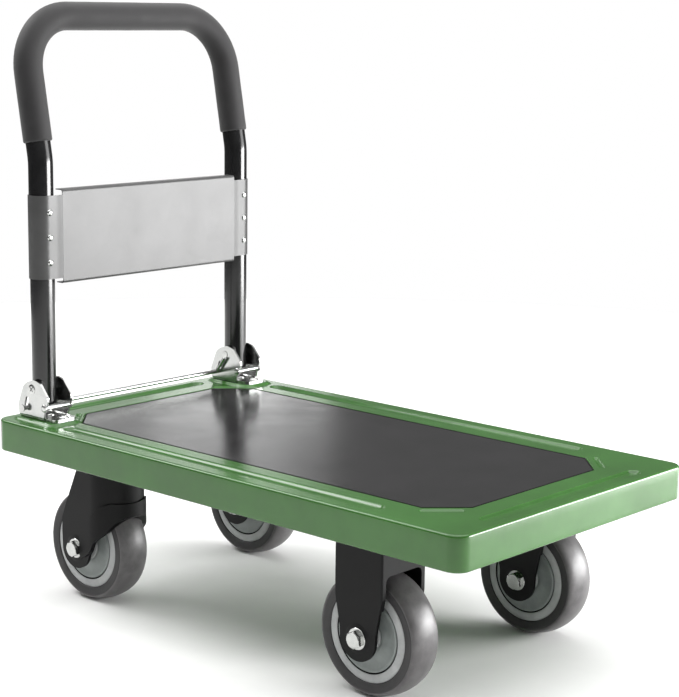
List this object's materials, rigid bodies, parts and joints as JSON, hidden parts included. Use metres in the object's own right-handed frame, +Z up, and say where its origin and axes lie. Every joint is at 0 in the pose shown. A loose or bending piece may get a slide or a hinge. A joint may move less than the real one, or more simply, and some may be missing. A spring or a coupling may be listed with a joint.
{
  "type": "folding platform hand truck",
  "caption": "Flat steel platform on two fixed and two swivel casters, with a tubular push handle that folds down flat over the deck.",
  "frame": {"origin": "centre of the whole object's box, on the floor under the wheels", "axes": "+X from the handle towards the free end, +Y to the left, +Z up"},
  "size_m": [0.7932, 0.44, 0.7806],
  "materials": {
    "green_paint": "glossy green paint on pressed steel",
    "mat_rubber": "satin black rubber sheet",
    "black_tube": "glossy black powder coat on steel tube",
    "grip_foam": "matte foam rubber sleeve",
    "grey_sheet": "satin grey paint on folded sheet",
    "zinc": "bright zinc plating",
    "black_steel": "satin black paint on pressed steel",
    "bush_plastic": "moulded bush",
    "tyre_rubber": "moulded grey rubber",
    "rim_plastic": "moulded grey plastic",
    "disc_plastic": "moulded grey plastic cap",
    "bearing_steel": "bright steel"
  },
  "bodies": {
    "deck": {"deck_pan": "green_paint", "load_mat": "mat_rubber", "cross_beam_front_a": "green_paint", "cross_beam_front_b": "green_paint", "cross_beam_rear_a": "green_paint", "cross_beam_rear_b": "green_paint", "rail_left": "green_paint", "rail_right": "green_paint", "hinge_bracket_left": "zinc", "hinge_bracket_right": "zinc", "stop_bar_left": "zinc", "stop_bar_right": "zinc", "pivot_pin_left": "zinc", "pivot_pin_right": "zinc", "bracket_bolts_left": "zinc", "bracket_bolts_right": "zinc", "swivel_plate_left": "black_steel", "swivel_plate_right": "black_steel", "king_bolt_left": "zinc", "king_bolt_right": "zinc", "fork_front_left": "black_steel", "fork_front_right": "black_steel", "axle_bolt_front_left": "zinc", "axle_bolt_front_right": "zinc", "plate_bolts_front_left": "zinc", "plate_bolts_front_right": "zinc", "plate_bolts_rear_left": "zinc", "plate_bolts_rear_right": "zinc"},
    "handle": {"handle_tube": "black_tube", "grip_sleeve": "grip_foam", "back_panel": "grey_sheet", "panel_rivets": "zinc", "pivot_bush_left": "bush_plastic", "pivot_bush_right": "bush_plastic"},
    "release": {"release_rod": "zinc", "rod_cap_left": "zinc", "rod_cap_right": "zinc"},
    "swivel_left": {"fork_rear_left": "black_steel", "axle_bolt_rear_left": "zinc"},
    "swivel_right": {"fork_rear_right": "black_steel", "axle_bolt_rear_right": "zinc"},
    "wheel_front_left": {"tyre_front_left": "tyre_rubber", "rim_front_left": "rim_plastic", "disc_front_left": "disc_plastic", "bearing_front_left": "bearing_steel"},
    "wheel_front_right": {"tyre_front_right": "tyre_rubber", "rim_front_right": "rim_plastic", "disc_front_right": "disc_plastic", "bearing_front_right": "bearing_steel"},
    "wheel_rear_left": {"tyre_rear_left": "tyre_rubber", "rim_rear_left": "rim_plastic", "disc_rear_left": "disc_plastic", "bearing_rear_left": "bearing_steel"},
    "wheel_rear_right": {"tyre_rear_right": "tyre_rubber", "rim_rear_right": "rim_plastic", "disc_rear_right": "disc_plastic", "bearing_rear_right": "bearing_steel"}
  },
  "joints": [
    {"name": "handle_fold", "type": "hinge", "parent": "deck", "child": "handle", "pos_m": [-0.3434, 0, 0.279], "axis": [0, 1, 0], "range_deg": [0, 90]},
    {"name": "release_lift", "type": "slide", "parent": "deck", "child": "release", "axis": [0.2689, 0, 0.9632], "range_m": [0, 0.007]},
    {"name": "swivel_left_turn", "type": "hinge", "parent": "deck", "child": "swivel_left", "pos_m": [-0.2424, 0.145, 0.18], "axis": [0, 0, 1], "continuous": true},
    {"name": "swivel_right_turn", "type": "hinge", "parent": "deck", "child": "swivel_right", "pos_m": [-0.2424, -0.145, 0.18], "axis": [0, 0, 1], "continuous": true},
    {"name": "wheel_front_left_roll", "type": "hinge", "parent": "deck", "child": "wheel_front_left", "pos_m": [0.2266, 0.15, 0.075], "axis": [0, 1, 0], "continuous": true},
    {"name": "wheel_rear_left_roll", "type": "hinge", "parent": "swivel_left", "child": "wheel_rear_left", "pos_m": [-0.2724, 0.145, 0.075], "axis": [0, 1, 0], "continuous": true},
    {"name": "wheel_front_right_roll", "type": "hinge", "parent": "deck", "child": "wheel_front_right", "pos_m": [0.2266, -0.15, 0.075], "axis": [0, 1, 0], "continuous": true},
    {"name": "wheel_rear_right_roll", "type": "hinge", "parent": "swivel_right", "child": "wheel_rear_right", "pos_m": [-0.2724, -0.145, 0.075], "axis": [0, 1, 0], "continuous": true}
  ]
}
